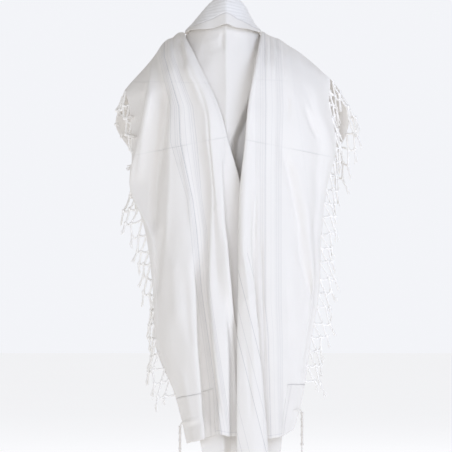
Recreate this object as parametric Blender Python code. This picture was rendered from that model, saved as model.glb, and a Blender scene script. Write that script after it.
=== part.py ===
"""A large woollen prayer shawl, hanging as it is worn: one oblong cloth over both shoulders, its two sides
gathered up and folded back so that a wing hangs behind each arm.

Frame: metres, +Z up, +Y the way the wearer faces, +X the wearer's right. The origin is where the shoulders
carry the cloth, midway between them at the foot of the neck. Every table below is in millimetres.
Each cloth wall is a grid of points: across it run named fold lines, and down it run sections.
"""
import math

import bpy
import numpy as np

MM = 0.001

# ---- The cut and the walls ---------------------------------------------------------------------------
CLOTH_THICK = 1.8
BAND_THICK = 1.4
PATCH_THICK = 1.2
FRINGE_THICK = 2.4
FRINGE_GAP = 8.0         # the fringe's wall starts this far out from the edge
SKIN_GAP = 0.6           # between a sewn-on piece and the cloth it lies on
PATCH_SIDE = 140.0       # the square of cloth that strengthens each corner
SHOWN_RIGHT = 62.0       # of the back right one this width lies flat; the rest is folded under
PATCH_HOLE_IN = (28.0, 62.0)   # where the ritual cord goes through: from the fringed edge, from the hem
FRINGE_OUT = 52.0        # how far the fringe stands out from the edge
FRINGE_DOWN = 46.0       # and how far it hangs
# How far the fringe is swung forward from straight out, in degrees, by height on the back of each wing.
LEFT_SWING = ((-1300, -35), (-960, -35), (-910, 25), (-770, 25), (-720, -40), (-500, -48), (-455, 0),
              (-430, 80), (-345, 85), (-315, 30), (-280, 0), (0, 0))
RIGHT_SWING = ((-1300, -36), (-420, -36), (-360, 0), (0, 0))
# The share of its full reach that the fringe stands out, by height: less at the elbows.
LEFT_REACH = ((-1300, 1.0), (-420, 1.0), (-345, 0.55), (0, 0.55))
RIGHT_REACH = ((-1300, 1.0), (-400, 1.0), (-330, 0.75), (0, 0.75))
CORD_WOUND = 105.0       # the wound part of a ritual cord
CORD_LOOSE = 165.0       # its loose strands below that
CORD_RADIUS = 3.2
STRANDS_RADIUS = 8.0

# ---- The back panel's own surface: how far behind the origin it hangs, by height ---------------------
BACK_DEPTH = ((0, 100), (-100, 120), (-215, 128), (-450, 129), (-750, 133), (-1070, 139), (-1260, 143))
BACK_TURN = (100.0, 260.0, 2.2)   # it comes forward this much, this far from the middle, to this power

# ---- Wings: fold lines from the fringed edge in to the fold beside the spine -------------------------
# x of each fold line at each height, then how far it stands off the back panel, in the same order.
LEFT_LINES = ("edge", "tuck", "lip", "valley_b", "ridge_c", "flat", "valley_d", "under_e", "ridge_e", "dip",
              "ridge_f", "lip_f", "under_f", "fold", "turn", "return")
LEFT_X = (
    (-215, (-284, -215, -232, -181, -165, -130, -99, -84, -70, -62, -52, -36, -29, -23, -27, -60)),
    (-331, (-276, -238, -255, -189, -168, -122, -84, -69, -55, -48, -41, -17, -3, 10, 6, -30)),
    (-447, (-272, -262, -281, -210, -174, -110, -67, -55, -43, -38, -30, -9, -12, 42, 38, 2)),
    (-592, (-233, -228, -220, -203, -168, -104, -64, -54, -43, -32, -17, 0, -9, 45, 41, 4)),
    (-751, (-213, -210, -206, -200, -170, -86, -76, -58, -47, -23, 0, 13, 3, 52, 48, 12)),
    (-911, (-204, -200, -194, -187, -156, -80, -70, -44, -35, 0, 9, 28, 40, 61, 57, 22)),
    (-1070, (-143, -139, -133, -128, -110, -68, -59, -31, -23, 4, 12, 32, 46, 67, 63, 28)),
)
LEFT_OFF = (
    (-215, (2, 14, 38, 16, 36, 34, 24, 28, 36, 36, 38, 32, 26, 18, 7, 7)),
    (-331, (2, 13, 38, 12, 38, 34, 22, 26, 36, 36, 40, 32, 24, 15, 6, 6)),
    (-447, (8, 18, 38, 12, 38, 36, 22, 26, 38, 39, 44, 36, 20, 13, 5, 5)),
    (-592, (14, 20, 24, 18, 38, 38, 22, 25, 36, 37, 46, 38, 14, 12, 5, 5)),
    (-751, (14, 16, 18, 18, 36, 42, 15, 15, 44, 40, 46, 40, 15, 12, 5, 5)),
    (-911, (12, 14, 18, 20, 36, 44, 14, 14, 50, 44, 20, 13, 12, 11, 5, 5)),
    (-1070, (10, 12, 16, 20, 34, 40, 11, 12, 50, 44, 19, 13, 11, 10, 4.5, 4.5)),
)
LEFT_HEM = ((-113, -1196), (-109, -1195), (-104, -1193), (-99, -1191), (-88, -1188), (-63, -1180),
            (-54, -1177), (-25, -1168), (-16, -1166), (6, -1172), (13, -1173), (36, -1174), (50, -1175),
            (72, -1177), (68, -1177), (34, -1177))
LEFT_HEM_OFF = (9, 11, 14, 18, 32, 38, 10, 11, 48, 42, 18, 12, 11, 10, 4.5, 4.5)
# How far each section follows the slope of the left hem below it.
HEM_SLOPE = ((-1070, 1.2), (-911, 0.8), (-751, 0.4), (-592, 0.15))
LEFT_CREST = ((-297, -166), (-232, -92), (-217, -74), (-205, -58), (-193, -40), (-180, -25), (-168, -17),
              (-161, -15), (-155, -12), (-149, -6), (-141, 0), (-134, 2), (-129, 2), (-124, -1), (-124, -9),
              (-134, -14))

RIGHT_LINES = ("edge", "ridge_1", "valley_1", "ridge_2", "valley_2", "band", "rise", "hollow", "lip", "top",
               "fold", "turn", "return")
RIGHT_X = (
    (-215, (304, 270, 236, 206, 171, 133, 110, 93, 81, 71, 64, 68, 104)),
    (-331, (325, 300, 268, 222, 168, 136, 110, 93, 78, 64, 54, 58, 96)),
    (-447, (297, 284, 268, 236, 192, 136, 110, 90, 74, 55, 41, 45, 86)),
    (-592, (280, 270, 258, 244, 217, 139, 110, 78, 70, 49, 35, 39, 70)),
    (-751, (273, 267, 260, 254, 238, 142, 112, 79, 83, 58, 35, 39, 70)),
    (-911, (247, 243, 238, 232, 221, 145, 116, 86, 95, 67, 33, 37, 72)),
    (-1070, (221, 217, 212, 203, 189, 148, 128, 95, 110, 75, 32, 36, 76)),
)
RIGHT_OFF = (
    (-215, (6, 30, 18, 30, 20, 32, 34, 35, 38, 42, 36, 24, 22)),
    (-331, (6, 28, 18, 32, 20, 32, 34, 34, 38, 44, 38, 25, 21)),
    (-447, (8, 20, 18, 32, 20, 32, 32, 30, 41, 48, 38, 26, 20)),
    (-592, (10, 18, 20, 34, 20, 32, 30, 20, 44, 52, 36, 25, 19)),
    (-751, (10, 14, 16, 30, 20, 32, 28, 17, 48, 54, 36, 25, 20)),
    (-911, (10, 12, 14, 20, 18, 30, 26, 17, 48, 54, 38, 28, 27)),
    (-1070, (10, 12, 13, 16, 16, 28, 24, 17, 48, 54, 38, 28, 27)),
)
RIGHT_HEM = ((198, -1157), (193, -1160), (186, -1163), (178, -1167), (168, -1172), (145, -1179),
             (131, -1181), (103, -1190), (123, -1236), (82, -1243), (32, -1250), (36, -1250), (76, -1246))
RIGHT_HEM_OFF = (10, 11, 12, 14, 15, 26, 24, 17, 46, 52, 38, 28, 27)
RIGHT_CREST = ((307, -134), (255, -87), (214, -56), (184, -36), (162, -21), (142, -13), (128, -7.5),
               (119, -3), (113, 1.5), (107, 4), (103, 2), (104, -6), (116, -10))

CREST_Y = (-10.0, 12.0)            # the shoulder line, at the neck and at the arm
OVER_BACK = ((0.0, 0.0), (0.13, 0.42), (0.42, 0.80), (1.0, 1.0))   # share of the drop, share of the depth

# The front of each wing, from the shoulder down: the fringed edge's way, then the inner fold's (x, y, z).
LEFT_FRONT_EDGE = ((-310, 36, -204), (-325, 66, -272), (-280, 94, -346), (-220, 114, -442),
                   (-174, 124, -540))
LEFT_FRONT_FOLD = ((-124, 58, -24), (-123, 98, -66), (-121, 120, -112), (-119, 130, -160),
                   (-117, 134, -208))
RIGHT_FRONT_EDGE = ((345, 38, -188), (362, 70, -268), (332, 98, -346), (278, 114, -440), (230, 122, -536))
RIGHT_FRONT_FOLD = ((106, 58, -20), (106, 98, -62), (105, 120, -106), (104, 130, -154), (103, 134, -200))
FRONT_BULGE = 14.0
FRONT_FOLD_DEPTH = 9.0
FRONT_FOLDS = 3.0

# ---- Back panel: its side folds by height, left and right --------------------------------------------
PANEL_SIDES = ((-215, -205, 236), (-331, -205, 236), (-447, -206, 232), (-592, -186, 222),
               (-751, -160, 212), (-911, -132, 198), (-1070, -98, 176), (-1196, -74, 162),
               (-1262, -60, 157))
PANEL_TOP = ((-215, 4, -96), (-165, 0, -50), (-128, -10, -28), (-76, -42, 36), (-35, -62, 84),
             (0, -72, 107), (45, -62, 82), (72, -42, 33), (102, -14, -18), (160, 0, -42),
             (222, 4, -90))
PANEL_AT = (-1.0, -0.78, -0.56, -0.34, -0.16, 0.0, 0.16, 0.34, 0.56, 0.78, 1.0)
PANEL_CREASE = 4.0                 # the pressed fold down the middle stands out by this much
CREASE_ENDS = (-230.0, -420.0)     # and dies away between these heights, under the wings
PANEL_OVER = ((0.0, 0.0), (0.10, 0.20), (0.32, 0.56), (0.62, 0.84), (1.0, 1.0))

# ---- Collar: the top of the cloth turned outwards round the neck -------------------------------------
# Its fold line round the neck and the free edge below it, from the left front end to the right one.
COLLAR_FOLD = ((-88, 120, -170), (-90, 104, -104), (-94, 62, -26), (-98, 20, 4), (-93, -20, 22),
               (-75, -50, 49), (-38, -72, 88), (0, -82, 113), (46, -72, 86), (71, -50, 44),
               (80, -20, 22), (82, 20, 6), (80, 62, -24), (76, 104, -104), (74, 120, -160))
COLLAR_EDGE = ((-100, 124, -172), (-104, 110, -108), (-108, 66, -32), (-111, 20, -5), (-112, -34, -1),
               (-87, -94, 6), (-41, -113, 8), (0, -122, 18), (26, -119, 10), (70, -102, 5), (93, -40, -1),
               (94, 20, -3), (93, 66, -30), (89, 110, -108), (86, 124, -162))
COLLAR_ROUND = 7.0                 # the turned edge is this full
BAND_FROM, BAND_TO = 0.10, 0.74    # the neckband covers this share of the turned part, fold to free edge
BAND_ENDS = 0.06                   # and stops this share of its length short of each end


def table(rows):
    """(keys, values) of a table whose first column is the key, keys rising."""
    found = sorted((row[0], np.atleast_1d(np.array(row[1:], float).squeeze())) for row in rows)
    return np.array([key for key, _ in found], float), np.array([value for _, value in found])


def curve_through(knots, values, at):
    """Smooth curve through values at rising knots, read at the given places. Values may be arrays."""
    knots, values, at = np.asarray(knots, float), np.asarray(values, float), np.asarray(at, float)
    flat = values.reshape(len(knots), -1)
    step = np.diff(knots)
    rise = np.diff(flat, axis=0) / step[:, None]
    slope = np.empty_like(flat)
    slope[0], slope[-1] = rise[0], rise[-1]
    before, after = step[:-1, None], step[1:, None]
    slope[1:-1] = (rise[:-1] * after + rise[1:] * before) / (before + after)
    i = np.clip(np.searchsorted(knots, at, side="right") - 1, 0, len(step) - 1)
    u = ((at - knots[i]) / step[i])[:, None]
    low, high, width = flat[i], flat[i + 1], step[i][:, None]
    out = (low * (1 + 2 * u) * (1 - u) ** 2 + slope[i] * width * u * (1 - u) ** 2
           + high * u * u * (3 - 2 * u) - slope[i + 1] * width * u * u * (1 - u))
    return out.reshape((len(at), *values.shape[1:]))


def back_y(x, z):
    """y of the back panel's outer face."""
    heights, depth = table(BACK_DEPTH)
    forward, half_width, power = BACK_TURN
    hang = curve_through(heights, depth[:, 0], np.clip(np.ravel(z), heights[0], heights[-1]))
    return forward * (np.abs(np.ravel(x)) / half_width) ** power - hang


def wing_sections(side):
    """The control grid of one wing: sections from the back hem up, over the shoulder and down the front."""
    left = side == "left"
    x_rows, off_rows = (LEFT_X, LEFT_OFF) if left else (RIGHT_X, RIGHT_OFF)
    hem, hem_off, crest = ((LEFT_HEM, LEFT_HEM_OFF, LEFT_CREST) if left
                           else (RIGHT_HEM, RIGHT_HEM_OFF, RIGHT_CREST))
    front_edge, front_fold = ((LEFT_FRONT_EDGE, LEFT_FRONT_FOLD) if left
                              else (RIGHT_FRONT_EDGE, RIGHT_FRONT_FOLD))
    hem = np.array(hem, float)
    slope_at, slope = table(HEM_SLOPE)
    rows = [np.column_stack([hem[:, 0], back_y(hem[:, 0], hem[:, 1]) - hem_off, hem[:, 1]])]
    for (z, x), (_, off) in sorted(zip(x_rows, off_rows, strict=True)):
        x = np.array(x, float)
        follow = np.interp(z, slope_at, slope[:, 0], right=0.0) if left else 0.0
        rise = (hem[:9, 1] - hem[0, 1]) * follow
        height = z + np.concatenate([rise, np.full(len(x) - 9, rise[-1])])
        rows.append(np.column_stack([x, back_y(x, height) - off, height]))
    crest = np.array(crest, float)
    out = np.abs(crest[:, 0] - crest[-3, 0]) / abs(crest[0, 0] - crest[-3, 0])
    crest = np.column_stack([crest[:, 0], np.interp(out, (0, 1), CREST_Y), crest[:, 1]])
    blade = rows[-1]
    for drop, deep in OVER_BACK[-2:0:-1]:
        share = np.array([drop, deep, drop])
        rows.append(crest + (blade - crest) * share)
    rows.append(crest)
    edge, fold = np.array(front_edge, float), np.array(front_fold, float)
    for k in range(len(edge)):
        down = (k + 1) / len(edge)
        row = fold[k] + (edge[k] - fold[k]) * out[:, None]
        wave = np.cos(2 * math.pi * FRONT_FOLDS * out) * FRONT_FOLD_DEPTH * down
        row[:, 1] += (FRONT_BULGE * np.sin(math.pi * out) + wave - FRONT_FOLD_DEPTH * down)
        row[-2] = row[-3] + (row[-4] - row[-3]) * 0.3 + (0, -9, -2)
        row[-1] = row[-3] + (row[-4] - row[-3]) * 2.2 + (0, -11, -2)
        rows.append(row)
    return np.array(rows)


def split(knots, most):
    """The knots, with every stretch cut into equal steps no longer than most."""
    found = [knots[:1]]
    for a, b in zip(knots[:-1], knots[1:], strict=True):
        found.append(np.linspace(a, b, max(int(math.ceil((b - a) / most)), 1) + 1)[1:])
    return np.concatenate(found)


def spans(grid):
    """How far apart the control points are, down and across, as running sums of their usual distance."""
    down = np.linalg.norm(np.diff(grid, axis=0), axis=2).mean(axis=1)
    across = np.linalg.norm(np.diff(grid, axis=1), axis=2).mean(axis=0)
    return np.concatenate([[0], np.cumsum(down)]), np.concatenate([[0], np.cumsum(across)])


def stations(grid, long_step, cross_step, long_at=(), cross_at=()):
    """Where the sections and the lines between them run on a cloth, with those asked for among them."""
    down, across = spans(grid)
    return (np.unique(np.concatenate([split(down, long_step), long_at])),
            np.unique(np.concatenate([split(across, cross_step), cross_at])))


def on_sheet(grid, v, w):
    """The points of the smooth surface at the given places down and across it."""
    down, across = spans(grid)
    fine = curve_through(down, grid, np.atleast_1d(v))
    return curve_through(across, fine.transpose(1, 0, 2), np.atleast_1d(w)).transpose(1, 0, 2)


def normals(points):
    down = np.gradient(points, axis=0)
    across = np.gradient(points, axis=1)
    n = np.cross(across, down)
    return n / np.maximum(np.linalg.norm(n, axis=2, keepdims=True), 1e-9)


def add_object(name, points, faces, material):
    mesh = bpy.data.meshes.new(name)
    mesh.from_pydata((np.asarray(points) * MM).tolist(), [], faces)
    mesh.materials.append(material)
    mesh.validate()
    mesh.shade_smooth()
    mesh.set_sharp_from_angle(angle=math.radians(50))
    obj = bpy.data.objects.new(name, mesh)
    bpy.context.scene.collection.objects.link(obj)
    return obj


def add_wall(name, points, n, thick, material, lift=0.0, facing=1.0):
    """A cloth wall: the grid moved out by lift on its facing side, and thick from there."""
    n = n * facing
    rows, columns = points.shape[:2]
    outer = (points + n * (lift + thick / 2)).reshape(-1, 3)
    inner = (points + n * (lift - thick / 2)).reshape(-1, 3)
    count = rows * columns

    def at(i, j):
        return i * columns + j

    faces = []
    for i in range(rows - 1):
        for j in range(columns - 1):
            a, b, c, d = at(i, j), at(i, j + 1), at(i + 1, j + 1), at(i + 1, j)
            for face in ((a, b, c), (a, c, d)):
                faces.append(face)
                faces.append(tuple(k + count for k in reversed(face)))
    rim = ([at(0, j) for j in range(columns)] + [at(i, columns - 1) for i in range(1, rows)]
           + [at(rows - 1, j) for j in range(columns - 2, -1, -1)]
           + [at(i, 0) for i in range(rows - 2, 0, -1)])
    for a, b in zip(rim, rim[1:] + rim[:1], strict=True):
        faces.append((b, a, a + count, b + count))
    if facing < 0:
        faces = [tuple(reversed(face)) for face in faces]
    return add_object(name, np.vstack([outer, inner]), faces, material)


def material(name, colour, roughness):
    made = bpy.data.materials.new(name)
    made.use_nodes = True
    shader = made.node_tree.nodes["Principled BSDF"]
    shader.inputs["Base Color"].default_value = (*colour, 1.0)
    shader.inputs["Roughness"].default_value = roughness
    shader.inputs["Metallic"].default_value = 0.0
    return made


def panel_grid():
    """The back panel's control grid, from its hem up to the fold line round the neck."""
    rows = []
    share = np.array(PANEL_AT)
    for z, low, high in sorted(PANEL_SIDES):
        middle = 0.0
        x = np.where(share < 0, middle - share * (low - middle), middle + share * (high - middle))
        y = back_y(x, np.full(len(x), z)) + CLOTH_THICK / 2
        fade = np.clip((z - CREASE_ENDS[1]) / (CREASE_ENDS[0] - CREASE_ENDS[1]), 0, 1)
        y -= PANEL_CREASE * fade * np.exp(-((x / 11.0) ** 2))
        rows.append(np.column_stack([x, y, np.full(len(x), z)]))
    top, blade = np.array(PANEL_TOP, float), rows[-1]
    for drop, deep in PANEL_OVER[-2::-1]:
        rows.append(top + (blade - top) * np.array([drop, deep, drop]))
    return np.array(rows)


def collar_grid():
    """The turned-down collar: fold line, its round, the flap's middle and the free edge."""
    fold, edge = np.array(COLLAR_FOLD, float), np.array(COLLAR_EDGE, float)
    out = edge - fold
    out[:, 2] = 0
    out /= np.linalg.norm(out, axis=1, keepdims=True)
    turn = fold + out * COLLAR_ROUND * 0.6 + (0, 0, 1.5)
    upper = fold + (edge - fold) * 0.30 + out * COLLAR_ROUND
    lower = fold + (edge - fold) * 0.70 + out * COLLAR_ROUND * 0.5
    return np.array([fold, turn, upper, lower, edge])


def from_hem(grid, length, at_front):
    """How far along the sheet a true length from a hem reaches, measured on the fringed edge."""
    v = np.linspace(0.0, 300.0, 61)
    line = on_sheet(grid, spans(grid)[0][-1] - v if at_front else v, 0.0)[:, 0]
    run = np.concatenate([[0.0], np.cumsum(np.linalg.norm(np.diff(line, axis=0), axis=1))])
    return float(np.interp(length, run, v))


def from_edge(grid, length, at_front):
    """How far across the sheet a true length from the fringed edge reaches, halfway up a corner square."""
    up = from_hem(grid, PATCH_SIDE / 2, at_front)
    w = np.linspace(0.0, spans(grid)[1][-1] * 0.85, 120)
    line = on_sheet(grid, spans(grid)[0][-1] - up if at_front else up, w)[0]
    run = np.concatenate([[0.0], np.cumsum(np.linalg.norm(np.diff(line, axis=0), axis=1))])
    return float(np.interp(length, run, w))


def edge_line(grid, v, swing, reach, sign):
    """Points along a wing's fringed edge, the way out of the cloth there, and the share of full reach."""
    line = on_sheet(grid, v, 0.0)[:, 0]
    out = line - on_sheet(grid, v, 14.0)[:, 0]
    along = np.gradient(line, axis=0)
    along /= np.linalg.norm(along, axis=1, keepdims=True)
    out -= along * (out * along).sum(axis=1, keepdims=True)
    out /= np.linalg.norm(out, axis=1, keepdims=True)
    smooth = out.copy()
    smooth[1:-1] = (out[:-2] + out[1:-1] * 2 + out[2:]) / 4
    heights, degrees = np.array(swing, float).T
    behind = line[:, 1] < CREST_Y[1]
    turn = np.radians(np.where(behind, np.interp(line[:, 2], heights, degrees), 0.0)) * -sign
    cos, sin = np.cos(turn), np.sin(turn)
    turned = np.column_stack([smooth[:, 0] * cos + smooth[:, 1] * sin,
                              smooth[:, 1] * cos - smooth[:, 0] * sin, smooth[:, 2]])
    share = np.interp(line[:, 2], *np.array(reach, float).T)
    return line, turned / np.linalg.norm(turned, axis=1, keepdims=True), share


def add_fringe(name, grid, swing, reach, sign, cloth):
    """A plain wall of the fringe's reach along a short edge, between its two corner squares."""
    long = spans(grid)[0][-1]
    ends = from_hem(grid, PATCH_SIDE, False), long - from_hem(grid, PATCH_SIDE, True)
    v = np.linspace(ends[0] + 8, ends[1] - 8, 22)
    line, out, far = edge_line(grid, v, swing, reach, sign)
    rows = []
    for share in (0.0, 0.5, 1.0):
        step = out * (FRINGE_GAP + FRINGE_OUT * share * far[:, None])
        rows.append(line + step + np.array([0, 0, -FRINGE_DOWN * share ** 1.6]))
    rows = np.array(rows)
    return add_wall(name, rows, normals(rows), FRINGE_THICK, cloth)


def add_patch(name, points, n, rows, columns, facing, cloth):
    """The square sewn on the outer face at one corner, on the wing's own points."""
    lift = CLOTH_THICK / 2 + SKIN_GAP + PATCH_THICK / 2
    return add_wall(name, points[rows][:, columns], n[rows][:, columns], PATCH_THICK, cloth,
                    lift=lift, facing=facing)


def add_ritual_cord(name, grid, at_front, side_sign, cloth):
    """One corner's knotted cord: a wound length and the loose strands below it, as one turned solid."""
    up = from_hem(grid, PATCH_HOLE_IN[1], at_front)
    start = on_sheet(grid, spans(grid)[0][-1] - up if at_front else up, 0.0)[0, 0]
    start = start + (side_sign * 7.0, 0.0, -6.0)
    profile = ((0.0, CORD_RADIUS), (CORD_WOUND, CORD_RADIUS), (CORD_WOUND + 12, STRANDS_RADIUS),
               (CORD_WOUND + CORD_LOOSE, STRANDS_RADIUS))
    sides = 10
    points, faces = [], []
    for depth, radius in profile:
        for k in range(sides):
            turn = 2 * math.pi * k / sides
            points.append(start + (radius * math.cos(turn), radius * math.sin(turn), -depth))
    for ring in range(len(profile) - 1):
        for k in range(sides):
            a, b = ring * sides + k, ring * sides + (k + 1) % sides
            faces.append((a, a + sides, b + sides, b))
    faces.append(tuple(range(sides)))
    faces.append(tuple(reversed(range((len(profile) - 1) * sides, len(profile) * sides))))
    return add_object(name, points, faces, cloth)


def main():
    for obj in list(bpy.data.objects):
        bpy.data.objects.remove(obj)
    wool = material("wool", (0.87, 0.85, 0.82), 0.85)
    band = material("ribbed_band", (0.88, 0.87, 0.85), 0.7)
    patch = material("corner_cloth", (0.87, 0.85, 0.82), 0.8)
    yarn = material("fringe_yarn", (0.90, 0.88, 0.85), 0.9)

    panel = on_sheet(panel_grid(), *stations(panel_grid(), 110.0, 48.0))
    add_wall("back_panel", panel, normals(panel), CLOTH_THICK, wool)

    collar = collar_grid()
    across, along = spans(collar)
    top, bottom = across[-1] * BAND_FROM, across[-1] * BAND_TO
    left, right = along[-1] * BAND_ENDS, along[-1] * (1 - BAND_ENDS)
    v, w = stations(collar, 40.0, 26.0, (top, bottom), (left, right))
    turned = on_sheet(collar, v, w)
    n = normals(turned)
    add_wall("collar_fold", turned, n, CLOTH_THICK, wool, facing=-1.0)
    rows, columns = (v >= top) & (v <= bottom), (w >= left) & (w <= right)
    lift = CLOTH_THICK / 2 + SKIN_GAP + BAND_THICK / 2
    add_wall("neckband", turned[rows][:, columns], n[rows][:, columns], BAND_THICK, band,
             lift=lift, facing=-1.0)

    for side, facing, sign in (("left", 1.0, -1.0), ("right", -1.0, 1.0)):
        grid = wing_sections(side)
        long = spans(grid)[0][-1]
        ends = from_hem(grid, PATCH_SIDE, False), long - from_hem(grid, PATCH_SIDE, True)
        wide = (from_edge(grid, SHOWN_RIGHT if side == "right" else PATCH_SIDE, False),
                from_edge(grid, PATCH_SIDE, True))
        v, w = stations(grid, 74.0, 25.0, ends, wide)
        points = on_sheet(grid, v, w)
        n = normals(points)
        add_wall(f"wing_{side}", points, n, CLOTH_THICK, wool, facing=facing)
        swing, reach = (LEFT_SWING, LEFT_REACH) if side == "left" else (RIGHT_SWING, RIGHT_REACH)
        add_fringe(f"fringe_{side}", grid, swing, reach, sign, yarn)
        for place, at_front in (("back", False), ("front", True)):
            rows = v >= ends[1] if at_front else v <= ends[0]
            columns = w <= wide[1 if at_front else 0]
            add_patch(f"corner_{place}_{side}", points, n, rows, columns, facing, patch)
            add_ritual_cord(f"cord_{place}_{side}", grid, at_front, sign, yarn)


main()
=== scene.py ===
"""A large woollen prayer shawl as worn: thin cloth shells over the CAD frame's solids, in the same metres.

The tables are in millimetres, in the frame's axes: +Z up, +Y the way the wearer faces, +X the wearer's right.
"""
import math

import bpy
import numpy as np
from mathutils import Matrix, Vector


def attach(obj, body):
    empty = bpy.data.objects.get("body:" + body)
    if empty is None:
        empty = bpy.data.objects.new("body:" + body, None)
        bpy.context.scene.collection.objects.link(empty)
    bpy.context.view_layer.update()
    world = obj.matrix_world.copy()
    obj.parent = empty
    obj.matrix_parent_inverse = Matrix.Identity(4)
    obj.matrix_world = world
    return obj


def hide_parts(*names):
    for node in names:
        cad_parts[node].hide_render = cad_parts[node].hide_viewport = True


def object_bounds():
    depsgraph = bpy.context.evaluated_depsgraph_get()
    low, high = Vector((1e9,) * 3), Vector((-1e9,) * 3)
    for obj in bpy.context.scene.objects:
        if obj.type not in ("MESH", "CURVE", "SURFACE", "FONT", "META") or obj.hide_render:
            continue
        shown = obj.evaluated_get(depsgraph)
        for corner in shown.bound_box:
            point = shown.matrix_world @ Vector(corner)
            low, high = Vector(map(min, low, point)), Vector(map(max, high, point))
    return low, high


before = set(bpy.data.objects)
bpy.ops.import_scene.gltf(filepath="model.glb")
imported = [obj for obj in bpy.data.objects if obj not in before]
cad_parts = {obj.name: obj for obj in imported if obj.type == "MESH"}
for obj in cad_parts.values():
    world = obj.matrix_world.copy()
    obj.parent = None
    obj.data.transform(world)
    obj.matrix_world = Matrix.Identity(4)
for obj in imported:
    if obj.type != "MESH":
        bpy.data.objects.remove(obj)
CAD_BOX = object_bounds()

MM = 0.001

# ---- The cut and the walls ----
CLOTH_THICK = 1.8        # the body cloth's wall in the CAD, which the surfaces run down the middle of
PATCH_SIDE = 140.0       # the square of cloth that strengthens each corner
SHOWN_RIGHT = 62.0       # of the back right one this width lies flat; the rest is folded under
PATCH_HOLE_IN = (28.0, 62.0)   # where the ritual cord goes through: from the fringed edge, from the hem
# How far the fringe is swung forward from straight out, in degrees, by height on the back of each wing.
SWING = {
    "left": ((-1300, -35), (-960, -35), (-910, 25), (-770, 25), (-720, -40), (-500, -48), (-455, 0),
        (-430, 80), (-345, 85), (-315, 30), (-280, 0), (0, 0)),
    "right": ((-1300, -36), (-420, -36), (-360, 0), (0, 0)),
}
# The share of its full reach that the fringe stands out, by height: less at the elbows.
REACH = {
    "left": ((-1300, 1.0), (-420, 1.0), (-345, 0.55), (0, 0.55)),
    "right": ((-1300, 1.0), (-400, 1.0), (-330, 0.75), (0, 0.75)),
}
CORD_WOUND = 105.0       # the wound part of a ritual cord
CORD_LOOSE = 165.0       # its loose strands below that

# ---- The back panel's own surface: how far behind the origin it hangs, by height ----
BACK_DEPTH = ((0, 100), (-100, 120), (-215, 128), (-450, 129), (-750, 133), (-1070, 139), (-1260, 143))
BACK_TURN = (100.0, 260.0, 2.2)   # it comes forward this much, this far from the middle, to this power

# ---- Wings: fold lines from the fringed edge in to the fold beside the spine ----
# x of each fold line at each height, then how far it stands off the back panel, in the same order.
FOLD_AT = (-215, -331, -447, -592, -751, -911, -1070)
FOLD_X = {
    "left": (
        (-284, -215, -232, -181, -165, -130, -99, -84, -70, -62, -52, -36, -29, -23, -27, -60),
        (-276, -238, -255, -189, -168, -122, -84, -69, -55, -48, -41, -17, -3, 10, 6, -30),
        (-272, -262, -281, -210, -174, -110, -67, -55, -43, -38, -30, -9, -12, 42, 38, 2),
        (-233, -228, -220, -203, -168, -104, -64, -54, -43, -32, -17, 0, -9, 45, 41, 4),
        (-213, -210, -206, -200, -170, -86, -76, -58, -47, -23, 0, 13, 3, 52, 48, 12),
        (-204, -200, -194, -187, -156, -80, -70, -44, -35, 0, 9, 28, 40, 61, 57, 22),
        (-143, -139, -133, -128, -110, -68, -59, -31, -23, 4, 12, 32, 46, 67, 63, 28),
    ),
    "right": (
        (304, 270, 236, 206, 171, 133, 110, 93, 81, 71, 64, 68, 104),
        (325, 300, 268, 222, 168, 136, 110, 93, 78, 64, 54, 58, 96),
        (297, 284, 268, 236, 192, 136, 110, 90, 74, 55, 41, 45, 86),
        (280, 270, 258, 244, 217, 139, 110, 78, 70, 49, 35, 39, 70),
        (273, 267, 260, 254, 238, 142, 112, 79, 83, 58, 35, 39, 70),
        (247, 243, 238, 232, 221, 145, 116, 86, 95, 67, 33, 37, 72),
        (221, 217, 212, 203, 189, 148, 128, 95, 110, 75, 32, 36, 76),
    ),
}
FOLD_OFF = {
    "left": (
        (2, 14, 38, 16, 36, 34, 24, 28, 36, 36, 38, 32, 26, 18, 7, 7),
        (2, 13, 38, 12, 38, 34, 22, 26, 36, 36, 40, 32, 24, 15, 6, 6),
        (8, 18, 38, 12, 38, 36, 22, 26, 38, 39, 44, 36, 20, 13, 5, 5),
        (14, 20, 24, 18, 38, 38, 22, 25, 36, 37, 46, 38, 14, 12, 5, 5),
        (14, 16, 18, 18, 36, 42, 15, 15, 44, 40, 46, 40, 15, 12, 5, 5),
        (12, 14, 18, 20, 36, 44, 14, 14, 50, 44, 20, 13, 12, 11, 5, 5),
        (10, 12, 16, 20, 34, 40, 11, 12, 50, 44, 19, 13, 11, 10, 4.5, 4.5),
    ),
    "right": (
        (6, 30, 18, 30, 20, 32, 34, 35, 38, 42, 36, 24, 22),
        (6, 28, 18, 32, 20, 32, 34, 34, 38, 44, 38, 25, 21),
        (8, 20, 18, 32, 20, 32, 32, 30, 41, 48, 38, 26, 20),
        (10, 18, 20, 34, 20, 32, 30, 20, 44, 52, 36, 25, 19),
        (10, 14, 16, 30, 20, 32, 28, 17, 48, 54, 36, 25, 20),
        (10, 12, 14, 20, 18, 30, 26, 17, 48, 54, 38, 28, 27),
        (10, 12, 13, 16, 16, 28, 24, 17, 48, 54, 38, 28, 27),
    ),
}
HEM = {
    "left": ((-113, -1196), (-109, -1195), (-104, -1193), (-99, -1191), (-88, -1188), (-63, -1180),
        (-54, -1177), (-25, -1168), (-16, -1166), (6, -1172), (13, -1173), (36, -1174), (50, -1175),
        (72, -1177), (68, -1177), (34, -1177)),
    "right": ((198, -1157), (193, -1160), (186, -1163), (178, -1167), (168, -1172), (145, -1179),
        (131, -1181), (103, -1190), (123, -1236), (82, -1243), (32, -1250), (36, -1250), (76, -1246)),
}
HEM_OFF = {
    "left": (9, 11, 14, 18, 32, 38, 10, 11, 48, 42, 18, 12, 11, 10, 4.5, 4.5),
    "right": (10, 11, 12, 14, 15, 26, 24, 17, 46, 52, 38, 28, 27),
}
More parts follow.
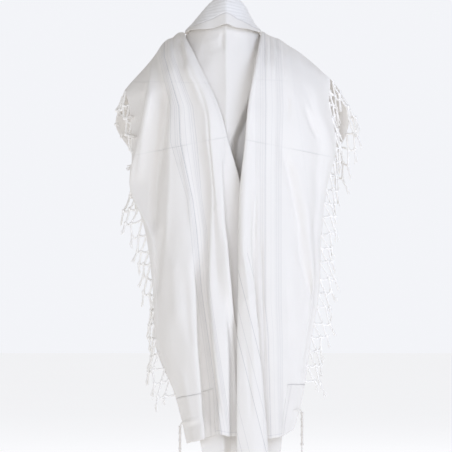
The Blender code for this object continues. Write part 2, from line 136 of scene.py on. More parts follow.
# How far each section follows the slope of the left hem below it.
HEM_SLOPE = ((-1070, 1.2), (-911, 0.8), (-751, 0.4), (-592, 0.15))
CREST = {
    "left": ((-297, -166), (-232, -92), (-217, -74), (-205, -58), (-193, -40), (-180, -25), (-168, -17),
        (-161, -15), (-155, -12), (-149, -6), (-141, 0), (-134, 2), (-129, 2), (-124, -1), (-124, -9),
        (-134, -14)),
    "right": ((307, -134), (255, -87), (214, -56), (184, -36), (162, -21), (142, -13), (128, -7.5), (119, -3),
        (113, 1.5), (107, 4), (103, 2), (104, -6), (116, -10)),
}


CREST_Y = (-10.0, 12.0)            # the shoulder line, at the neck and at the arm
OVER_BACK = ((0.0, 0.0), (0.13, 0.42), (0.42, 0.80), (1.0, 1.0))   # share of the drop, share of the depth

# The front of each wing, from the shoulder down: the fringed edge's way, then the inner fold's (x, y, z).
FRONT_EDGE = {
    "left": ((-310, 36, -204), (-325, 66, -272), (-280, 94, -346), (-220, 114, -442), (-174, 124, -540)),
    "right": ((345, 38, -188), (362, 70, -268), (332, 98, -346), (278, 114, -440), (230, 122, -536)),
}
FRONT_FOLD = {
    "left": ((-124, 58, -24), (-123, 98, -66), (-121, 120, -112), (-119, 130, -160), (-117, 134, -208)),
    "right": ((106, 58, -20), (106, 98, -62), (105, 120, -106), (104, 130, -154), (103, 134, -200)),
}
FRONT_BULGE = 14.0
FRONT_FOLD_DEPTH = 9.0
FRONT_FOLDS = 3.0

# ---- Back panel: its side folds by height, left and right ----
PANEL_SIDES = ((-215, -205, 236), (-331, -205, 236), (-447, -206, 232), (-592, -186, 222),
               (-751, -160, 212), (-911, -132, 198), (-1070, -98, 176), (-1196, -74, 162),
               (-1262, -60, 157))
PANEL_TOP = ((-215, 4, -96), (-165, 0, -50), (-128, -10, -28), (-76, -42, 36), (-35, -62, 84),
             (0, -72, 107), (45, -62, 82), (72, -42, 33), (102, -14, -18), (160, 0, -42),
             (222, 4, -90))
PANEL_AT = (-1.0, -0.78, -0.56, -0.34, -0.16, 0.0, 0.16, 0.34, 0.56, 0.78, 1.0)
PANEL_CREASE = 4.0                 # the pressed fold down the middle stands out by this much
CREASE_ENDS = (-230.0, -420.0)     # and dies away between these heights, under the wings
PANEL_OVER = ((0.0, 0.0), (0.10, 0.20), (0.32, 0.56), (0.62, 0.84), (1.0, 1.0))

# ---- Collar: the top of the cloth turned outwards round the neck ----
# Its fold line round the neck and the free edge below it, from the left front end to the right one.
COLLAR_FOLD = ((-88, 120, -170), (-90, 104, -104), (-94, 62, -26), (-98, 20, 4), (-93, -20, 22),
               (-75, -50, 49), (-38, -72, 88), (0, -82, 113), (46, -72, 86), (71, -50, 44),
               (80, -20, 22), (82, 20, 6), (80, 62, -24), (76, 104, -104), (74, 120, -160))
COLLAR_EDGE = ((-100, 124, -172), (-104, 110, -108), (-108, 66, -32), (-111, 20, -5), (-112, -34, -1),
               (-87, -94, 6), (-41, -113, 8), (0, -122, 18), (26, -119, 10), (70, -102, 5), (93, -40, -1),
               (94, 20, -3), (93, 66, -30), (89, 110, -108), (86, 124, -162))
COLLAR_ROUND = 7.0                 # the turned edge is this full
BAND_FROM, BAND_TO = 0.10, 0.74    # the neckband covers this share of the turned part, fold to free edge
BAND_ENDS = 0.06                   # and stops this share of its length short of each end

# ---- Finer folds, as seen from behind: (x, z) along each line, half-width, height (minus is a trough) ----
CREASES = {
    "left": (
        (((-139, 4), (-134, -40), (-126, -84), (-120, -120)), 9, -9),
        (((-176, -150), (-180, -250), (-192, -340), (-207, -450), (-214, -600)), 12, -11),
        (((-164, -160), (-164, -330), (-164, -450), (-176, -640)), 8, 2.6),
        (((-232, -120), (-250, -250), (-262, -330), (-280, -450)), 7, 4),
        (((-212, -142), (-234, -258), (-248, -374), (-256, -447)), 15, 9),
        (((-180, -8), (-176, -60), (-172, -130)), 6, -2.2),
        (((-166, -4), (-158, -70), (-146, -150)), 6, 1.6),
        (((-152, -20), (-140, -90), (-120, -190)), 5, -1.4),
        (((-104, -60), (-86, -150), (-70, -240)), 12, 2.4),
        (((-90, -120), (-72, -200), (-58, -300)), 11, -2.6),
        (((-128, -330), (-106, -470), (-96, -600)), 9, 4),
        (((-236, -150), (-244, -230), (-262, -330)), 9, -5),
        (((-300, -170), (-296, -240), (-282, -330)), 8, 4),
        (((-88, -640), (-77, -850), (-62, -1000), (-52, -1150)), 15, -10),
        (((-30, -430), (-22, -560), (-8, -700)), 10, -2.6),
        (((-4, -560), (4, -680), (14, -790)), 8, 2.4),
        (((-182, -548), (-196, -670), (-204, -789)), 10, -6),
        (((-150, -640), (-148, -760), (-140, -870)), 16, 4.5),
        (((-118, -700), (-112, -830), (-100, -940)), 12, -3.5),
        (((-132, -960), (-112, -1050), (-90, -1150)), 10, 3.5),
        (((-44, -960), (-24, -1060), (-4, -1160)), 5, -3),
        (((10, -800), (22, -930), (30, -1100)), 5, 3),
        (((-212, -840), (-190, -930), (-160, -1010)), 8, -4),
    ),
    "right": (
        (((110, 10), (112, -40), (112, -130)), 2.8, -2.2),
        (((118, 8), (121, -44), (120, -150)), 2.8, 1.8),
        (((126, 4), (129, -44), (129, -140)), 2.8, -2.4),
        (((134, 0), (139, -50), (138, -160)), 3, 1.8),
        (((143, -4), (149, -48), (149, -150)), 3, -2.6),
        (((152, -8), (158, -54), (157, -150)), 3.2, 1.8),
        (((161, -12), (167, -58), (168, -170)), 4, -2.2),
        (((180, -170), (180, -215), (179, -262)), 8, -4),
        (((228, -212), (247, -262), (268, -318)), 9, -6),
        (((214, -150), (238, -220), (262, -290)), 9, 3),
        (((168, -340), (190, -441), (215, -563), (217, -650), (236, -722), (258, -800)), 11, -7),
        (((196, -350), (220, -450), (238, -560)), 12, 4),
        (((272, -330), (262, -480), (256, -640)), 12, -3.5),
        (((190, -600), (200, -760), (206, -900)), 14, 3),
        (((176, -700), (180, -840), (184, -960)), 10, -2.6),
        (((100, -600), (106, -800), (112, -1000)), 6, -3),
        (((92, -330), (92, -500), (90, -640)), 6, 3),
        (((62, -560), (60, -640), (72, -720)), 6, -3.5),
        (((50, -640), (58, -700), (64, -740)), 4, 3),
        (((60, -700), (74, -860), (86, -1010)), 6, 3),
        (((54, -900), (66, -1010), (76, -1140)), 6, -3),
        (((168, -1010), (166, -1090), (163, -1170)), 7, -2.5),
    ),
}
PANEL_CREASES = (
    (((-40, 0), (-62, -60), (-74, -120)), 14, -1.6),
    (((-8, 0), (-12, -30), (-10, -62)), 7, -4),
    (((34, 6), (40, -70), (34, -150)), 18, -1.2),
)
# Short creases that run across: (x, z) of both ends, half-width, height.
CROSS_CREASES = (
    (-127, -1142, -72, -1117, 5, 2.4),
    (-122, -1156, -66, -1132, 6, -1.6),
    (40, -792, 78, -764, 5, 2.6),
    (-40, -520, -14, -505, 5, 2.2),
    (-118, -78, -100, -150, 7, 2.4),
)
PANEL_CROSS = (
    (-66, -34, -16, -18, 6, 2.2),
    (-58, -62, -8, -42, 6, -2),
    (10, 2, 78, -12, 5, 1.6),
)
# The gap beside the right wing, where the back panel folds away from sight: (z, x where it starts, how deep).
GAP_START = ((20, 98, -10), (-26, 88, -19), (-84, 80, -23), (-142, 74, -15), (-171, 71, 14), (-200, 60, 30),
             (-229, 48, 36), (-258, 36, 36), (-287, 24, 36), (-316, 11, 36), (-460, -4, 40), (-1300, -10, 46))
GAP_ROUND = 26.0         # the fold into that gap turns over this width
SPINE_X = 1.0            # the pressed fold down the middle of the back
SPINE_RIDGE = 5.5        # how far it stands out on the panel
COLLAR_RIDGE = 9.0       # and on the collar
RIB_PITCH = 6.5          # the neckband's ribs
RIB_HEIGHT = 0.30
SHELL_THICK = 1.0        # the visible cloth
PATCH_SHELL = 0.5        # a corner square, and how far out from the cloth's middle it lies
PATCH_LIFT = 0.85

# ---- The thin lines in the stripes: how far across the band, how wide, how dark ----
BAND_LINES = ((1, 1.3, 0.5), (8, 1, 0.25), (13.5, 1, 0.3), (19.5, 1, 0.25), (26.6, 2, 0.95),
              (30.5, 1, 0.35), (37.6, 1.2, 0.35), (45.2, 1.2, 0.3), (53.2, 1.4, 0.5), (60, 1, 0.25),
              (67, 1, 0.3), (74.8, 1.5, 0.45))
RIGHT_LINES_DARK = 0.5            # the right wing's lines show this much of the left one's
PLEAT_LINES = ((118, 1.6, 0.45), (140, 1.5, 0.3), (188, 1.7, 0.6), (210, 1.5, 0.35), (238, 1.7, 0.6),
               (278, 1.5, 0.4))
LINES_SPAN = 400.0                # both tables run over this width

# ---- The woven stripes: where the band of them runs down each wing (z, x of its two sides) ----
BAND_WIDE = 76.0
BAND_AT = {
    "left": ((-70, -197, -154), (-220, -162, -96), (-325, -162, -84), (-490, -113, -70), (-577, -104, -55),
        (-751, -87, -46), (-1172, -29, 16)),
    "right": ((-84, 84, 160), (-220, 84, 166), (-400, 84, 160), (-790, 84, 160), (-880, 96, 163),
        (-1180, 108, 166)),
}
# Lines pressed across each wing: a height, minus the x where the line is that high, and its slope.
PRESSED = {
    "left": ((-339.0, 162.0, 0.19), (-146.0, 190.0, -0.05)),
    "right": ((-322.0, -90.0, -0.184), (-143.0, -150.0, -0.03)),
}

# ---- Fringe and corner cords ----
TUFT_EVERY = 43.0                     # between the fringe's roots along the edge
YARN_RADIUS = 3.2
ROW_OUT = ((19, 28), (12, 20))        # how far out each row of knots stands from the one before
ROW_DOWN = ((12, 19), (2, 11))        # and how far down
ROW_SLACK = ((0.0, 6.0), (2.0, 8.0))  # how far the strands that reach it sag
TASSEL_LONG = (27, 38)
TASSEL_THREADS = 8
TUCKED_IN = 1.9                       # where the arm presses on it, the fringe turns back by this share
STRANDS = 8
STRAND_RADIUS = 0.95
BUNDLE_RADIUS = 1.7                   # the strands stand in a ring this wide inside the winding
WINDINGS = (7, 8, 11, 13)             # turns between the knots of a ritual cord
COIL_RADIUS, COIL_YARN, COIL_STEP = 2.75, 0.85, 1.55
CORD_KNOT_STEP = 5.6                  # the height that each knot takes

# ---- Colours, and the cloth's measures in metres ----
WHITE = (0.895, 0.866, 0.822)
WARM = (0.87, 0.835, 0.785)
# the grey of the woven lines and stitches; it also paints the shade in creases, turns, rib troughs and along
# the corner squares' edges
LINE_AND_SHADE = (0.46, 0.45, 0.46)
YARNS = (  # name, in light, in shade
    ("fringe_twist", (0.95, 0.93, 0.90), (0.87, 0.845, 0.805)),
    ("corner_strand", (0.86, 0.84, 0.80), (0.72, 0.69, 0.65)),
    ("corner_winding", (0.84, 0.81, 0.765), (0.68, 0.64, 0.59)),
)
FAR = 5.0                             # a map's value where none of its lines is near
WOOL_THREAD, CORNER_THREAD, BAND_THREAD = 0.0011, 0.0009, 0.0012
LADDER_PITCH = 0.0032                 # the raised threads across a woven stripe
HEM_TURN, SIDE_TURN = 0.011, 0.007    # how far in from the edge the turns are stitched
PRESS_WIDE = 0.0030
STITCH_IN, STITCH_WIDE, STITCH_LONG = 0.004, 0.0011, 0.0034
# Raised parts of the stripes: where each starts or stops, as a share of LINES_SPAN, and whether it is raised.
BAND_RIBS = ((0.0, 0.0), (0.010, 1.0), (0.066, 0.0), (0.138, 1.0), (0.186, 0.0))

# ---- Camera, light and floor, in metres ----
CAMERA_LENS, CAMERA_SENSOR = 271.3, 36.0
CAMERA_AT = (0.0, -10.0, -0.5655)
LIT_POINT = (0, 0, -0.5)
LIGHTS = (  # name, place, size, power, tint
    ("key", (3.4, -3.2, 0.9), 2.8, 92.0, (0.70, 0.79, 1.0)),
    ("fill", (-1.6, -7.0, 0.8), 2.6, 106.0, (0.77, 0.84, 1.0)),
    ("rim", (0.8, 2.6, 2.2), 1.8, 30.0, (1.0, 1.0, 1.0)),
)
ROOM_LIGHT = ((1.0, 0.962, 0.915), 0.345)
ROOM_SEEN = ((0.955, 0.965, 1.0), 0.94)
FLOOR_GLOW = ((0.95, 0.965, 1.0), 0.69)
FLOOR_GREYS = ((0.61, 0.61, 0.615), (0.64, 0.64, 0.645))
FLOOR_HALF, FLOOR_DROP = 14.0, 0.05


def table(rows):
    """(keys, values) of a table whose first column is the key, keys rising."""
    found = sorted((row[0], np.atleast_1d(np.array(row[1:], float).squeeze())) for row in rows)
    return np.array([key for key, _ in found], float), np.array([value for _, value in found])


def curve_through(knots, values, at):
    """Smooth curve through values at rising knots, read at the given places. Values may be arrays."""
    knots, values, at = np.asarray(knots, float), np.asarray(values, float), np.asarray(at, float)
    flat = values.reshape(len(knots), -1)
    step = np.diff(knots)
    rise = np.diff(flat, axis=0) / step[:, None]
    slope = np.empty_like(flat)
    slope[0], slope[-1] = rise[0], rise[-1]
    before, after = step[:-1, None], step[1:, None]
    slope[1:-1] = (rise[:-1] * after + rise[1:] * before) / (before + after)
    i = np.clip(np.searchsorted(knots, at, side="right") - 1, 0, len(step) - 1)
    u = ((at - knots[i]) / step[i])[:, None]
    low, high, width = flat[i], flat[i + 1], step[i][:, None]
    out = (low * (1 + 2 * u) * (1 - u) ** 2 + slope[i] * width * u * (1 - u) ** 2
           + high * u * u * (3 - 2 * u) - slope[i + 1] * width * u * u * (1 - u))
    return out.reshape((len(at), *values.shape[1:]))


def back_y(x, z):
    """y of the back panel's outer face."""
    heights, depth = table(BACK_DEPTH)
    forward, half_width, power = BACK_TURN
    hang = curve_through(heights, depth[:, 0], np.clip(np.ravel(z), heights[0], heights[-1]))
    return forward * (np.abs(np.ravel(x)) / half_width) ** power - hang


def wing_sections(side):
    """The control grid of one wing: sections from the back hem up, over the shoulder and down the front."""
    hem, crest, edge, fold = (np.array(rows[side], float) for rows in (HEM, CREST, FRONT_EDGE, FRONT_FOLD))
    slope_at, slope = table(HEM_SLOPE)
    rows = [np.column_stack([hem[:, 0], back_y(hem[:, 0], hem[:, 1]) - HEM_OFF[side], hem[:, 1]])]
    for z, x, off in sorted(zip(FOLD_AT, FOLD_X[side], FOLD_OFF[side], strict=True)):
        x = np.array(x, float)
        follow = np.interp(z, slope_at, slope[:, 0], right=0.0) if side == "left" else 0.0
        rise = (hem[:9, 1] - hem[0, 1]) * follow
        height = z + np.concatenate([rise, np.full(len(x) - 9, rise[-1])])
        rows.append(np.column_stack([x, back_y(x, height) - off, height]))
    out = np.abs(crest[:, 0] - crest[-3, 0]) / abs(crest[0, 0] - crest[-3, 0])
    crest = np.column_stack([crest[:, 0], np.interp(out, (0, 1), CREST_Y), crest[:, 1]])
    blade = rows[-1]
    for drop, deep in OVER_BACK[-2:0:-1]:
        share = np.array([drop, deep, drop])
        rows.append(crest + (blade - crest) * share)
    rows.append(crest)
    for k in range(len(edge)):
        down = (k + 1) / len(edge)
        row = fold[k] + (edge[k] - fold[k]) * out[:, None]
        wave = np.cos(2 * math.pi * FRONT_FOLDS * out) * FRONT_FOLD_DEPTH * down
        row[:, 1] += (FRONT_BULGE * np.sin(math.pi * out) + wave - FRONT_FOLD_DEPTH * down)
        row[-2] = row[-3] + (row[-4] - row[-3]) * 0.3 + (0, -9, -2)
        row[-1] = row[-3] + (row[-4] - row[-3]) * 2.2 + (0, -11, -2)
        rows.append(row)
    return np.array(rows)


def unit(v):
    """Directions made one long."""
    return v / np.maximum(np.linalg.norm(v, axis=-1, keepdims=True), 1e-9)


def run_along(line):
    """The length of a line up to each of its points."""
    return np.concatenate([[0.0], np.cumsum(np.linalg.norm(np.diff(line, axis=0), axis=1))])


def from_end(grid, v, at_front):
    """A place down the sheet, counted from its front hem or its back one."""
    return spans(grid)[0][-1] - v if at_front else v


def spans(grid):
    """How far apart the control points are, down and across, as running sums of their usual distance."""
    down = np.linalg.norm(np.diff(grid, axis=0), axis=2).mean(axis=1)
    across = np.linalg.norm(np.diff(grid, axis=1), axis=2).mean(axis=0)
    return np.concatenate([[0], np.cumsum(down)]), np.concatenate([[0], np.cumsum(across)])


def on_sheet(grid, v, w):
    """The points of the smooth surface at the given places down and across it."""
    down, across = spans(grid)
    fine = curve_through(down, grid, np.atleast_1d(v))
    return curve_through(across, fine.transpose(1, 0, 2), np.atleast_1d(w)).transpose(1, 0, 2)


def panel_grid():
    """The back panel's control grid, from its hem up to the fold line round the neck."""
    rows = []
    share = np.array(PANEL_AT)
    for z, low, high in sorted(PANEL_SIDES):
        x = np.where(share < 0, -share * low, share * high)
        y = back_y(x, np.full(len(x), z)) + CLOTH_THICK / 2
        fade = np.clip((z - CREASE_ENDS[1]) / (CREASE_ENDS[0] - CREASE_ENDS[1]), 0, 1)
        y -= PANEL_CREASE * fade * np.exp(-((x / 11.0) ** 2))
        rows.append(np.column_stack([x, y, np.full(len(x), z)]))
    top, blade = np.array(PANEL_TOP, float), rows[-1]
    for drop, deep in PANEL_OVER[-2::-1]:
        rows.append(top + (blade - top) * np.array([drop, deep, drop]))
    return np.array(rows)


def collar_grid():
    """The turned-down collar: fold line, its round, the flap's middle and the free edge."""
    fold, edge = np.array(COLLAR_FOLD, float), np.array(COLLAR_EDGE, float)
    out = unit((edge - fold) * (1, 1, 0))
    turn = fold + out * COLLAR_ROUND * 0.6 + (0, 0, 1.5)
    upper = fold + (edge - fold) * 0.30 + out * COLLAR_ROUND
    lower = fold + (edge - fold) * 0.70 + out * COLLAR_ROUND * 0.5
    return np.array([fold, turn, upper, lower, edge])


def from_hem(grid, length, at_front):
    """How far along the sheet a true length from a hem reaches, measured on the fringed edge."""
    v = np.linspace(0.0, 300.0, 61)
    line = on_sheet(grid, from_end(grid, v, at_front), 0.0)[:, 0]
    return float(np.interp(length, run_along(line), v))


def from_edge(grid, length, at_front):
    """How far across the sheet a true length from the fringed edge reaches, halfway up a corner square."""
    up = from_hem(grid, PATCH_SIDE / 2, at_front)
    w = np.linspace(0.0, spans(grid)[1][-1] * 0.85, 120)
    line = on_sheet(grid, from_end(grid, up, at_front), w)[0]
    return float(np.interp(length, run_along(line), w))


def edge_line(grid, v, swing, reach, sign):
    """Points along a wing's fringed edge, the way out of the cloth there, and the share of full reach."""
    line = on_sheet(grid, v, 0.0)[:, 0]
    out = line - on_sheet(grid, v, 14.0)[:, 0]
    along = unit(np.gradient(line, axis=0))
    out = unit(out - along * (out * along).sum(axis=1, keepdims=True))
    smooth = out.copy()
    smooth[1:-1] = (out[:-2] + out[1:-1] * 2 + out[2:]) / 4
    heights, degrees = np.array(swing, float).T
    behind = line[:, 1] < CREST_Y[1]
    turn = np.radians(np.where(behind, np.interp(line[:, 2], heights, degrees), 0.0)) * -sign
    cos, sin = np.cos(turn), np.sin(turn)
    turned = np.column_stack([smooth[:, 0] * cos + smooth[:, 1] * sin,
                              smooth[:, 1] * cos - smooth[:, 0] * sin, smooth[:, 2]])
    share = np.interp(line[:, 2], *np.array(reach, float).T)
    return line, unit(turned), share


# ---- Shader building ----
class Shader:
    """Builds one material's nodes: each method gives back the socket it made."""

    def __init__(self, name, roughness, sheen=0.0, specular=0.3, glow=((1.0, 1.0, 1.0), 0.0)):
        self.material = bpy.data.materials.new(name)
        self.material.use_nodes = True
        self.tree = self.material.node_tree
        self.shader = self.tree.nodes["Principled BSDF"]
        for socket, value in (("Roughness", roughness), ("Sheen Weight", sheen), ("Sheen Roughness", 0.5),
                              ("Specular IOR Level", specular), ("Emission Color", (*glow[0], 1.0)),
                              ("Emission Strength", glow[1])):
            self.shader.inputs[socket].default_value = value

    def plug(self, value, socket):
        if isinstance(value, bpy.types.NodeSocket):
            self.tree.links.new(value, socket)
        else:
            socket.default_value = value

    def node(self, kind, inputs, out=0, **settings):
        """A node with these settings and inputs, by name or number; gives back one of its outputs."""
        node = self.tree.nodes.new("ShaderNode" + kind)
        for key, value in settings.items():
            setattr(node, key, value)
        for key, value in inputs.items():
            self.plug(value, node.inputs[key])
        return node.outputs[out]

    def math(self, operation, *values):
        return self.node("Math", dict(enumerate(values)), operation=operation)

    def mul(self, a, b):
        return self.math("MULTIPLY", a, b)

    def add(self, a, b):
        return self.math("ADD", a, b)

    def sub(self, a, b):
        return self.math("SUBTRACT", a, b)

    def place(self, name):
        """A map, whole and as its two parts."""
        spot = self.node("UVMap", {}, uv_map=name)
        parts = self.node("SeparateXYZ", {0: spot}).node.outputs
        return spot, parts[0], parts[1]

    def spot(self):
        return self.node("TexCoord", {}, out="Object")

    def noise(self, vector, scale, detail=2.0, roughness=0.5):
        return self.node("TexNoise", {"Vector": vector, "Scale": scale, "Detail": detail,
                                      "Roughness": roughness})

    def scaled(self, vector, x, y, z):
        return self.node("Mapping", {"Scale": (x, y, z), "Vector": vector})

    def steps(self, value, stops, smooth=False):
        """A ramp through (place, grey) stops, level between them unless smooth."""
        socket = self.node("ValToRGB", {0: value})
        ramp = socket.node.color_ramp
        ramp.interpolation = "LINEAR" if smooth else "CONSTANT"
        while len(ramp.elements) < len(stops):
            ramp.elements.new(0.5)
        for element, (at, grey) in zip(ramp.elements, stops, strict=True):
            element.position = at
            element.color = (grey, grey, grey, 1.0)
        return socket

    def mix(self, factor, a, b):
        """Between two colours."""
        a, b = ((*value, 1.0) if isinstance(value, tuple) else value for value in (a, b))
        return self.node("Mix", {0: factor, 6: a, 7: b}, out=2, data_type="RGBA")

    def bump(self, height_mm, strength):
        bump = self.node("Bump", {"Strength": strength, "Distance": MM, "Height": height_mm})
        self.plug(bump, self.shader.inputs["Normal"])

    def colour(self, value):
        self.plug(value, self.shader.inputs["Base Color"])
        return self.material


def groove(s, value, half_width):
    """1 on a line where value is nought, falling to 0 at half_width from it."""
    return s.math("MAXIMUM", s.sub(1.0, s.mul(s.math("ABSOLUTE", value), 1.0 / half_width)), 0.0)


def wave(s, value, pitch):
    """A sine wave of this pitch."""
    return s.math("SINE", s.mul(value, 2 * math.pi / pitch))


def line_stops(lines):
    """Thin lines as ramp stops over LINES_SPAN."""
    stops = [(0.0, 0.0)]
    for at, wide, dark in lines:
        stops += [(at / LINES_SPAN, dark), ((at + wide) / LINES_SPAN, 0.0)]
    return stops


def weave(s, across, along, pitch):
    """Height in mm of a plain weave: threads of this pitch, in metres, over and under each other."""
    return s.mul(s.mul(wave(s, across, pitch), wave(s, along, pitch)), 0.06)


def wool_material(name, stripes=(), pleat_lines=False):
    """The body cloth: a fine weave in an uneven white, with its turns, press creases and woven stripes; the
    shade in the hem turn, the press creases and the stripes' rib troughs is painted into its colour.
    """
    s = Shader(name, 0.86, sheen=0.25, specular=0.18)
    cloth, across, along = s.place("cloth")
    spot = s.spot()
    cloud = s.noise(spot, 5.0, 3.0)
    fleck = s.noise(s.scaled(cloth, 1.0, 0.25, 1.0), 700.0, 2.0)
    tone = s.add(s.mul(cloud, 0.55), s.mul(fleck, 0.45))
    colour = s.mix(s.math("SMOOTH_MIN", tone, 1.0, 0.1), WARM, WHITE)
    height = s.add(weave(s, across, along, WOOL_THREAD), s.mul(s.noise(cloth, 1400.0, 1.0), 0.05))
    height = s.add(height, s.mul(s.noise(s.scaled(spot, 1.0, 1.0, 0.45), 22.0, 3.0, 0.55), 1.5))
    hem = groove(s, s.sub(along, HEM_TURN), 0.0016)
    side = groove(s, s.sub(across, SIDE_TURN), 0.0012)
    height = s.sub(height, s.mul(s.add(hem, side), 0.35))
    _, first, second = s.place("press")
    # where the press creases show strongly: this sets both their groove and their painted shade
    crease_shows = s.steps(s.noise(spot, 9.0, 1.0), ((0.40, 0.15), (0.62, 1.0)), smooth=True)
    press = s.mul(s.add(groove(s, first, PRESS_WIDE), s.mul(groove(s, second, PRESS_WIDE), 0.6)), crease_shows)
    height = s.sub(height, s.mul(press, 1.1))
    # painted shade: the hem turn's groove and the press creases are painted darker, as the shade that lies in
    # them
    dark = s.mul(s.add(hem, s.mul(press, 0.55)), 0.35)
    if stripes:
        _, run, _ = s.place("band")
        share = s.mul(run, 1.0 / (LINES_SPAN * MM))
        ribs = s.steps(share, BAND_RIBS)
        lines = s.steps(share, line_stops(stripes))
        ladder = s.mul(wave(s, along, LADDER_PITCH), ribs)
        height = s.add(height, s.mul(ladder, 0.14))
        height = s.add(height, s.mul(ribs, 0.16))
        height = s.sub(height, s.mul(lines, 0.40))
        dark = s.add(dark, s.mul(lines, 0.80))
        # painted shade: the ribbed stripes are painted darker in the troughs between their raised threads
        dark = s.add(dark, s.mul(s.mul(ribs, s.add(0.5, s.mul(ladder, -0.5))), 0.12))
    if pleat_lines:
        _, run, mask = s.place("pleat")
        lines = s.steps(s.mul(run, 1.0 / (LINES_SPAN * MM)), line_stops(PLEAT_LINES))
        lines = s.mul(lines, s.math("GREATER_THAN", mask, 0.5))
        height = s.sub(height, s.mul(lines, 0.40))
        dark = s.add(dark, s.mul(lines, 0.75))
    s.bump(height, 0.9)
    return s.colour(s.mix(s.math("MINIMUM", dark, 1.0), colour, LINE_AND_SHADE))


def band_material(name):
    """The ribbed neckband: cords across it under a satin face, painted lighter on each rib and darker between
    them, as light and shade.
    """
    s = Shader(name, 0.55, sheen=0.35, specular=0.35)
    cloth, across, along = s.place("cloth")
    cloud = s.noise(s.spot(), 9.0, 2.0)
    thread = wave(s, along, BAND_THREAD)
    rib = wave(s, across, RIB_PITCH * MM)
    height = s.add(s.mul(thread, 0.05), s.mul(s.noise(cloth, 1200.0, 1.0), 0.05))
    height = s.add(height, s.mul(rib, 0.12))
    s.bump(height, 0.8)
    # painted highlight and shade: the colour follows the ribs, lighter on their tops and darker between them
    tone = s.add(s.mul(cloud, 0.5), s.mul(s.add(rib, 1.0), 0.25))
    return s.colour(s.mix(tone, (0.855, 0.835, 0.81), (0.895, 0.875, 0.85)))


def corner_material(name):
    """The sewn corner square: a closer weave, stitched round a little in from its edge, with painted shade
    along its edges.
    """
    s = Shader(name, 0.8, sheen=0.25, specular=0.2)
    cloth, across, along = s.place("cloth")
    _, in_a, in_b = s.place("press")
    tone = s.add(s.mul(s.noise(s.spot(), 12.0, 2.0), 0.6), s.mul(s.noise(cloth, 900.0, 1.0), 0.4))
    stitch = s.math("MAXIMUM", *(groove(s, s.sub(far, STITCH_IN), STITCH_WIDE) for far in (in_a, in_b)))
    dashes = s.math("GREATER_THAN", wave(s, s.add(across, along), STITCH_LONG), -0.35)
    stitch = s.mul(stitch, dashes)
    # painted shade: a faint darkening along the square's edges, for the shadow where it lies on the cloth;
    # the stitches are the thread's own colour
    rim = s.math("MAXIMUM", groove(s, in_a, 0.0035), groove(s, in_b, 0.0035))
    height = s.add(weave(s, across, along, CORNER_THREAD), s.mul(s.noise(s.spot(), 30.0, 2.0), 0.8))
    s.bump(s.sub(height, s.mul(stitch, 0.45)), 0.9)
    dark = s.math("MAXIMUM", s.mul(stitch, 0.22), s.mul(rim, 0.06))
    return s.colour(s.mix(dark, s.mix(tone, (0.85, 0.815, 0.765), (0.885, 0.853, 0.807)), LINE_AND_SHADE))


def yarn_material(name, light, shade):
    """Loose wool yarn; its faint glow stands in for the light that comes through it."""
    s = Shader(name, 0.9, sheen=0.3, specular=0.15, glow=(light, 0.10))
    spot = s.spot()
    tone = s.add(s.mul(s.noise(spot, 60.0, 2.0), 0.5), s.mul(s.noise(spot, 1500.0, 2.0), 0.5))
    s.bump(s.mul(s.noise(spot, 2600.0, 2.0), 0.5), 0.7)
    return s.colour(s.mix(tone, shade, light))


# ---- Mesh building ----
def put(name, data):
    """A new object in the scene."""
    obj = bpy.data.objects.new(name, data)
    bpy.context.scene.collection.objects.link(obj)
    return obj


def add_piece(name, data, material):
    """A new piece of the shawl, with its finish and the body it rides on."""
    data.materials.append(material)
    if isinstance(data, bpy.types.Mesh):
        data.shade_smooth()
    piece = put(name, data)
    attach(piece, "root")
    return piece


def pair(a, b):
    """Two measures over a grid, in mm, as one map in metres."""
    return np.stack(np.broadcast_arrays(a, b), axis=-1) * MM


def grid_normals(points):
    return unit(np.cross(np.gradient(points, axis=1), np.gradient(points, axis=0)))


def add_shell(name, points, maps, thick, material, lift=0.0, facing=1.0):
    """A thin cloth shell on a grid of points, in mm: its two faces and its rim, with its maps in metres."""
    n = grid_normals(points) * facing
    rows, columns = points.shape[:2]
    count = rows * columns
    both = np.vstack([(points + n * (lift + thick / 2)).reshape(-1, 3),
                      (points + n * (lift - thick / 2)).reshape(-1, 3)]) * MM
    index = np.arange(count).reshape(rows, columns)
    quads = np.stack([index[:-1, :-1], index[:-1, 1:], index[1:, 1:], index[1:, :-1]], axis=-1).reshape(-1, 4)
    rim = np.concatenate([index[0], index[1:, -1], index[-1, -2::-1], index[-2:0:-1, 0]])
    after = np.roll(rim, -1)
    edges = np.stack([after, rim, rim + count, after + count], axis=-1)
    faces = np.vstack([quads, quads[:, ::-1] + count, edges])
    if facing < 0:
        faces = faces[:, ::-1]
    mesh = bpy.data.meshes.new(name)
    mesh.from_pydata(both.tolist(), [], faces.tolist())
    corner = np.empty(len(mesh.loops), np.int32)
    mesh.loops.foreach_get("vertex_index", corner)
    for map_name, values in maps.items():
        layer = mesh.uv_layers.new(name=map_name)
        flat = values.reshape(-1, 2)[corner % count]
        layer.data.foreach_set("uv", np.ascontiguousarray(flat, np.float32).ravel())
    return add_piece(name, mesh, material)


def smooth_step(x):
    x = np.clip(x, 0.0, 1.0)
    return x * x * (3 - 2 * x)


def crease_height(points, creases):
    """How far the finer folds stand out at each point, in mm."""
    x, z = points[..., 0], points[..., 2]
    total = np.zeros(x.shape)
    for line, width, height in creases:
        line = np.array(sorted(line, key=lambda p: p[1]), float)
        middle = np.interp(z, line[:, 1], line[:, 0])
        low, high = line[0, 1], line[-1, 1]
        end = min(60.0, (high - low) * 0.35)
        fade = smooth_step((z - low) / end) * smooth_step((high - z) / end)
        total += height * fade * np.exp(-(((x - middle) / width) ** 2))
    return total


